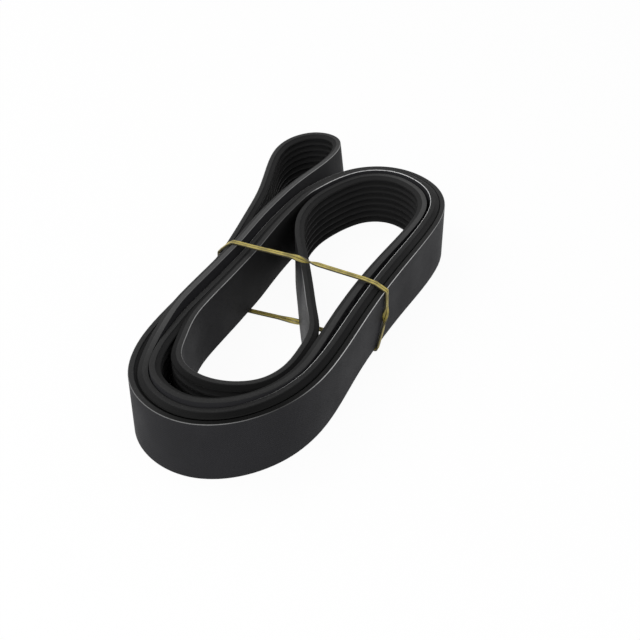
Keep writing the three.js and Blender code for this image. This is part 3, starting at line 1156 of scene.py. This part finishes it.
@dataclass(frozen=True)
class BandRubber:
    """Finish of the rubber band: dull yellow rubber, dusty in places, with painted shade along the strands'
    sides.

    Args:
        colour: linear colour of the rubber.
        dusty: linear colour where it has picked up dust.
        side_shade: linear colour of the painted shade along the strands' sides.
        roughness: roughness of its surface.
        dust_rough: how much rougher the dust is.
        side_shade_zone: the strands' sides, by how far across a strand they are.
    """

    colour: Colour = (0.46, 0.37, 0.08, 1.0)
    dusty: Colour = (0.25, 0.205, 0.05, 1.0)
    side_shade: Colour = (0.05, 0.042, 0.014, 1.0)
    roughness: float = 0.45
    dust_rough: float = 0.15
    side_shade_zone: tuple[float, float] = (0.55, 0.85)

    DUST = Patches(240.0, 0.45, 0.15)
    GRAIN = Grain(1400.0, 300.0, 0.3, 0.0001)

    def make(self, effects: SharedEffects) -> bpy.types.Material:
        """Build the material.

        Args:
            effects: shared node groups.

        Returns:
            The material.
        """
        mat, sheet, shader = new_material("Band rubber")
        links = mat.node_tree.links
        dust = self.DUST.of(sheet, effects, 1.0)
        face = sheet.blend(dust, self.colour, self.dusty)
        # Painted shade along the strands' sides, where the two strands meet and at the band's outer edges
        cut = sheet.ramp(sheet.field("edge"), *self.side_shade_zone)
        links.new(sheet.blend(cut, face, self.side_shade), shader.inputs["Base Color"])
        rough = sheet.math("ADD", self.roughness, sheet.math("MULTIPLY", dust, self.dust_rough))
        links.new(rough, shader.inputs["Roughness"])
        links.new(self.GRAIN.normal(sheet, effects), shader.inputs["Normal"])
        return mat


@dataclass
class Belt:
    """The ribbed belt, one loop with no end.

    Args:
        path: line of its back.
        section: its section.
        sharp: angle past which an edge is shaded sharp, in degrees.
    """

    path: FoldedPath
    section: Section = SECTION
    sharp: float = 50.0

    def build(self, sweep: Sweep, finish: bpy.types.Material) -> bpy.types.Object:
        """Sweep the section along the path.

        Args:
            sweep: the sweeping tree.
            finish: the belt's material.

        Returns:
            The belt.
        """
        cx, cy = self.path.centre()
        p = self.path.points
        width = self.section.width
        line = np.column_stack((p[:, 0] - cx, p[:, 1] - cy, p[:, 2] + width)) * MM
        along = tangents(line)
        side = np.column_stack((along[:, 1], -along[:, 0], np.zeros(len(along))))
        side /= np.linalg.norm(side, axis=1)[:, None]
        side = turned(side, along, -p[:, 3])
        steps = np.linalg.norm(np.roll(p[:, :3], -1, axis=0) - p[:, :3], axis=1)
        run = np.concatenate(([0.0], np.cumsum(steps)[:-1]))
        fields = {"side": side, "run": run, **self.path.wear_and_painted_light}
        outline = np.array(self.section.outline())
        flat = np.column_stack((-outline[:, 0], width - outline[:, 1], np.zeros(len(outline)))) * MM
        helper = loop_object("belt section", [flat], {"depth": outline[:, 0], "height": outline[:, 1]})
        piece = sweep.run("ribbed_belt", loop_object("belt path", [line], fields), helper, finish)
        piece.data.set_sharp_from_angle(angle=math.radians(self.sharp))
        return piece


@dataclass
class RubberBand:
    """The rubber band, doubled into two flat strands and pulled tight round the bundle.

    Args:
        path: line of the belt's back.
        station: where the plane that the tight line is found in crosses the bundle's axis.
        slant: how the plane leans along the bundle, per millimetre across it.
        strand: width and thickness of one strand.
        between: room between the two strands.
        square: how square a strand's outline is, from 1 for an oval down to 0.
        stand: how far the middle of the band stands off the bundle.
        top: height at which the band's line has come to its place over the bundle.
        bow: how far the band bows on the right leg's wall, along and into the bundle.
        right: how far out the right leg's wall starts, and over what distance it takes hold.
    """

    path: FoldedPath
    station: float = -13.8
    slant: float = 0.075
    strand: tuple[float, float] = (1.4, 0.95)
    between: float = 0.06
    square: float = 0.6
    stand: float = 0.6
    top: float = 31.0
    bow: tuple[float, float] = (2.5, 0.6)
    right: tuple[float, float] = (40.0, 5.0)

    # Places of the band over and under the bundle, as y and x
    OVER = (
        (-46, -18.5), (-35, -15.8), (-18, -13.8), (-7, -12.4), (0, -11.4), (22, -11.1), (31, -10.6),
        (38, -11.5),
    )
    UNDER = ((-44, -24.0), (-15, -17.4), (-4, -15.3), (9, -14.6), (23, -14.0), (38, -13.0))
    # Half turns of the pair of strands: y and z of the middle, and the length that each takes
    TWISTS = ((-4.7, 33.0, 16.0), (-46.0, 17.0, 12.0), (-4.0, 0.8, 24.0), (38.0, 14.0, 12.0))
    # Points round a strand, points along the loop and the largest turn of a hull corner, in degrees
    CORNERS = 16
    POINTS = 420
    TURN_STEP = 15
    # Stretch of the belt's line, in x and y, that is the right leg's outer wall
    WALL_X = (-70, 20)
    WALL_Y = -40

    def _hull(self) -> np.ndarray:
        """Tight line round the bundle in the band's plane.

        Returns:
            Corners as y and z, anticlockwise.
        """
        p = self.path.points
        n = len(p)
        corners = []
        off = p[:, 0] - (self.station + self.slant * p[:, 1])
        for i in range(n):
            j = (i + 1) % n
            if off[i] * off[j] > 0:
                continue
            t = off[i] / (off[i] - off[j])
            here = p[i] * (1 - t) + p[j] * t
            leg = (p[j] - p[i])[:2]
            inward = leg[0] / np.linalg.norm(leg)
            for depth, height, _ in SECTION.corners():
                out = (SECTION.width - height) * math.tan(here[3])
                corners.append((here[1] + inward * (depth - out), here[2] + height))
        order = geometry.convex_hull_2d([Vector(c) for c in corners])
        hull = np.array([corners[k] for k in order])
        area = np.sum(hull[:, 0] * np.roll(hull[:, 1], -1) - np.roll(hull[:, 0], -1) * hull[:, 1])
        return hull if area > 0 else hull[::-1]

    def _outside(self) -> np.ndarray:
        """The tight line moved off the bundle, round its corners.

        Returns:
            Points as y and z, with the first one again at the end.
        """
        hull = self._hull()
        pts = []
        n = len(hull)
        for i in range(n):
            a, b, c = hull[i - 1], hull[i], hull[(i + 1) % n]
            n1 = np.array((b[1] - a[1], a[0] - b[0]))
            n2 = np.array((c[1] - b[1], b[0] - c[0]))
            start = math.atan2(n1[1], n1[0])
            turn = (math.atan2(n2[1], n2[0]) - start) % (2 * math.pi)
            steps = max(1, math.ceil(turn / math.radians(self.TURN_STEP)))
            for k in range(steps + 1):
                ang = start + turn * k / steps
                pts.append(b + self.stand * np.array((math.cos(ang), math.sin(ang))))
        loop = np.array(pts)
        return np.vstack((loop, loop[:1]))

    def _line(self) -> np.ndarray:
        """Middle line of the band, evenly spaced.

        Returns:
            Points of the closed line, in millimetres in the belt's own plan.
        """
        loop = self._outside()
        run = np.concatenate(([0], np.cumsum(np.linalg.norm(np.diff(loop, axis=0), axis=1))))
        even = np.linspace(0, run[-1], self.POINTS, endpoint=False)
        y, z = np.interp(even, run, loop[:, 0]), np.interp(even, run, loop[:, 1])
        rise = np.clip(z / self.top, 0, 1)
        over = np.interp(y, *np.array(self.OVER).T)
        under = np.interp(y, *np.array(self.UNDER).T)
        start, reach = self.right
        right = np.clip((-y - start) / reach, 0, 1)
        bow = right * np.sin(np.pi * rise)
        x = under + (over - under) * rise + bow * self.bow[0]
        shift = self._wall(x, rise) - self._wall(self.station + self.slant * y, rise)
        y = y - bow * self.bow[1] + right * shift
        return np.column_stack((x, y, z))

    def _wall(self, x: np.ndarray, rise: np.ndarray) -> np.ndarray:
        """Where the right leg's outer wall stands across the bundle.

        Args:
            x: places along the bundle.
            rise: share of the wall's height at each place.

        Returns:
            The wall's y at each place.
        """
        p = self.path.points
        near, far = self.WALL_X
        outer = p[(p[:, 0] > near) & (p[:, 0] < far) & (p[:, 1] < self.WALL_Y) & (p[:, 3] < 0)]
        outer = outer[np.argsort(outer[:, 0])]
        top = np.interp(x, outer[:, 0], outer[:, 1])
        foot = np.interp(x, outer[:, 0], outer[:, 1] - SECTION.width * np.sin(outer[:, 3]))
        return foot + (top - foot) * rise

    def build(self, sweep: Sweep, finish: bpy.types.Material) -> bpy.types.Object:
        """Sweep the two strands, twisted, along the tight line.

        Args:
            sweep: the sweeping tree.
            finish: the band's material.

        Returns:
            The rubber band.
        """
        cx, cy = self.path.centre()
        line = self._line()
        line = (line - np.array((cx, cy, 0.0))) * MM
        along = tangents(line)
        plane = np.array((1.0, -self.slant, 0.0))
        side = np.cross(plane, along)
        side /= np.linalg.norm(side, axis=1)[:, None]
        side = turned(side, along, self._twist(line / MM + np.array((cx, cy, 0.0))))
        reach = (self.strand[0] + self.between) / 2
        loops = [self._strand(sign * reach) * MM for sign in (-1, 1)]
        edge = np.abs(np.cos(np.linspace(0, 2 * np.pi, self.CORNERS, endpoint=False)))
        helper = loop_object("band section", loops, {"edge": np.tile(edge, 2)})
        path = loop_object("band path", [line], {"side": side})
        return sweep.run("rubber_band_strands", path, helper, finish)

    def _twist(self, line: np.ndarray) -> np.ndarray:
        """Angle of the pair of strands along the loop: half a turn at each of TWISTS.

        Args:
            line: middle line of the band, in millimetres.

        Returns:
            An angle for each point, in radians.
        """
        n = len(line)
        step = np.linalg.norm(np.diff(line, axis=0), axis=1).mean()
        total = np.zeros(n)
        for y, z, spread in self.TWISTS:
            middle = int(np.argmin(np.hypot(line[:, 1] - y, line[:, 2] - z)))
            t = np.clip((np.arange(n) - middle) * step / spread + 0.5, 0, 1)
            total += np.pi * t * t * (3 - 2 * t)
        return total

    def _strand(self, shift: float) -> np.ndarray:
        """Oblong outline of one strand, rounded at its corners.

        Args:
            shift: how far the strand's middle is from the pair's.

        Returns:
            Points in the XY plane, in millimetres.
        """
        t = np.linspace(0, 2 * np.pi, self.CORNERS, endpoint=False)
        c, s = np.cos(t), np.sin(t)
        width, height = self.strand
        x = np.sign(c) * np.abs(c) ** self.square * width / 2 + shift
        y = np.sign(s) * np.abs(s) ** self.square * height / 2
        return np.column_stack((y, x, np.zeros_like(x)))


@dataclass(frozen=True)
class Lamp:
    """A square area lamp that looks at the object.

    Args:
        name: name of the lamp.
        place: where it stands, in metres.
        size: length of its side, in metres.
        power: its power, in watts.
    """

    name: str
    place: tuple[float, float, float]
    size: float
    power: float

    def build(self) -> None:
        """Put the lamp in the scene."""
        data = bpy.data.lights.new(self.name, "AREA")
        data.size = self.size
        data.energy = self.power
        lamp = bpy.data.objects.new(self.name, data)
        lamp.location = self.place
        lamp.rotation_euler = (-Vector(self.place)).to_track_quat("-Z", "Y").to_euler()
        bpy.context.scene.collection.objects.link(lamp)


@dataclass
class Studio:
    """Plain pale floor, soft lights and the camera.

    Args:
        eye: where the camera stands, in metres.
        azimuth: where it looks in plan, in degrees from the X axis.
        pitch: how far down it looks, in degrees.
        lens: its focal length, in millimetres.
        sensor: width of its sensor, in millimetres.
        floor_half: half the floor's side, in metres.
        floor_grey: how light the floor is to the light that falls on the object from it.
        floor_glow: how much of the floor's white is its own glow, where it is seen.
        sky: strength of the light from all round.
    """

    eye: tuple[float, float, float] = (-0.40750, -0.14894, 0.302)
    azimuth: float = 19.05
    pitch: float = 35.5
    lens: float = 61.31
    sensor: float = 36.0
    floor_half: float = 3.0
    floor_grey: float = 0.6
    floor_glow: float = 0.95
    sky: float = 0.4

    LAMPS = (
        Lamp("Key light", (0.1, 0.8, 0.9), 0.9, 5.5),
        Lamp("Side light", (-0.35, -1.0, 0.5), 0.8, 1.3),
        Lamp("Front light", (-1.1, 0.1, 0.7), 0.8, 8.0),
    )

    def build(self) -> None:
        """Make the floor, the lights, the world and the camera."""
        bpy.context.scene.view_settings.view_transform = "Standard"
        self._floor()
        self._world()
        for lamp in self.LAMPS:
            lamp.build()
        self._camera()

    @staticmethod
    def _backdrop_glow(sheet: NodeSheet) -> bpy.types.NodeSocket:
        """One where a ray comes straight from the camera, or by gloss or glass.

        Args:
            sheet: sheet of the material or world.

        Returns:
            The mask.
        """
        path = sheet.node("ShaderNodeLightPath")
        seen = sheet.math("MAXIMUM", path.outputs["Is Camera Ray"], path.outputs["Is Glossy Ray"])
        return sheet.math("MAXIMUM", seen, path.outputs["Is Transmission Ray"])

    def _floor(self) -> None:
        """White floor that keeps a faint shadow."""
        mesh = bpy.data.meshes.new("Floor")
        r = self.floor_half
        mesh.from_pydata([(-r, -r, 0), (r, -r, 0), (r, r, 0), (-r, r, 0)], [], [(0, 1, 2, 3)])
        mat, sheet, shader = new_material("Studio floor")
        seen = self._backdrop_glow(sheet)
        links = mat.node_tree.links
        links.new(sheet.blend(seen, grey(self.floor_grey), grey(1.0)), shader.inputs["Base Color"])
        shader.inputs["Roughness"].default_value = 0.9
        shader.inputs["Specular IOR Level"].default_value = 0.0
        glow = sheet.node("ShaderNodeEmission", {"Color": grey(1.0), "Strength": 1.0})
        share = sheet.math("MULTIPLY", seen, self.floor_glow)
        mixed = sheet.node("ShaderNodeMixShader", {0: share, 1: shader.outputs[0], 2: glow.outputs[0]})
        links.new(mixed.outputs[0], mat.node_tree.nodes["Material Output"].inputs["Surface"])
        mesh.materials.append(mat)
        floor = bpy.data.objects.new("studio_floor", mesh)
        bpy.context.scene.collection.objects.link(floor)

    def _world(self) -> None:
        """Soft light from all round, and plain white where it is seen."""
        world = bpy.data.worlds.new("Studio")
        world.use_nodes = True
        bpy.context.scene.world = world
        sheet = NodeSheet(world.node_tree)
        seen = sheet.math("MULTIPLY", self._backdrop_glow(sheet), 1.0 - self.sky)
        level = sheet.math("ADD", self.sky, seen)
        back = world.node_tree.nodes["Background"]
        back.inputs["Color"].default_value = grey(1.0)
        world.node_tree.links.new(level, back.inputs["Strength"])

    def _camera(self) -> None:
        """Camera at the photograph's place and angle."""
        data = bpy.data.cameras.new("Camera")
        data.lens = self.lens
        data.sensor_width = self.sensor
        camera = bpy.data.objects.new("Camera", data)
        camera.location = self.eye
        camera.rotation_euler = (math.radians(90 - self.pitch), 0.0, math.radians(self.azimuth - 90))
        bpy.context.scene.collection.objects.link(camera)
        bpy.context.scene.camera = camera


def main() -> None:
    """Build the object and its studio."""
    logging.basicConfig(level=logging.INFO, format="%(message)s")
    sweep, effects = Sweep(), SharedEffects()
    path = FoldedPath()
    belt = Belt(path).build(sweep, BeltRubber().make(effects, SECTION))
    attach(belt, "root")
    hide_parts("belt")
    LOG.info("belt: %d points along, %d faces", len(path.points), len(belt.data.polygons))
    band = RubberBand(path).build(sweep, BandRubber().make(effects))
    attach(band, "root")
    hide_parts("rubber_band")
    LOG.info("rubber band: %d faces", len(band.data.polygons))
    Studio().build()
    LOG.info("studio ready")


if __name__ == "__main__":
    main()
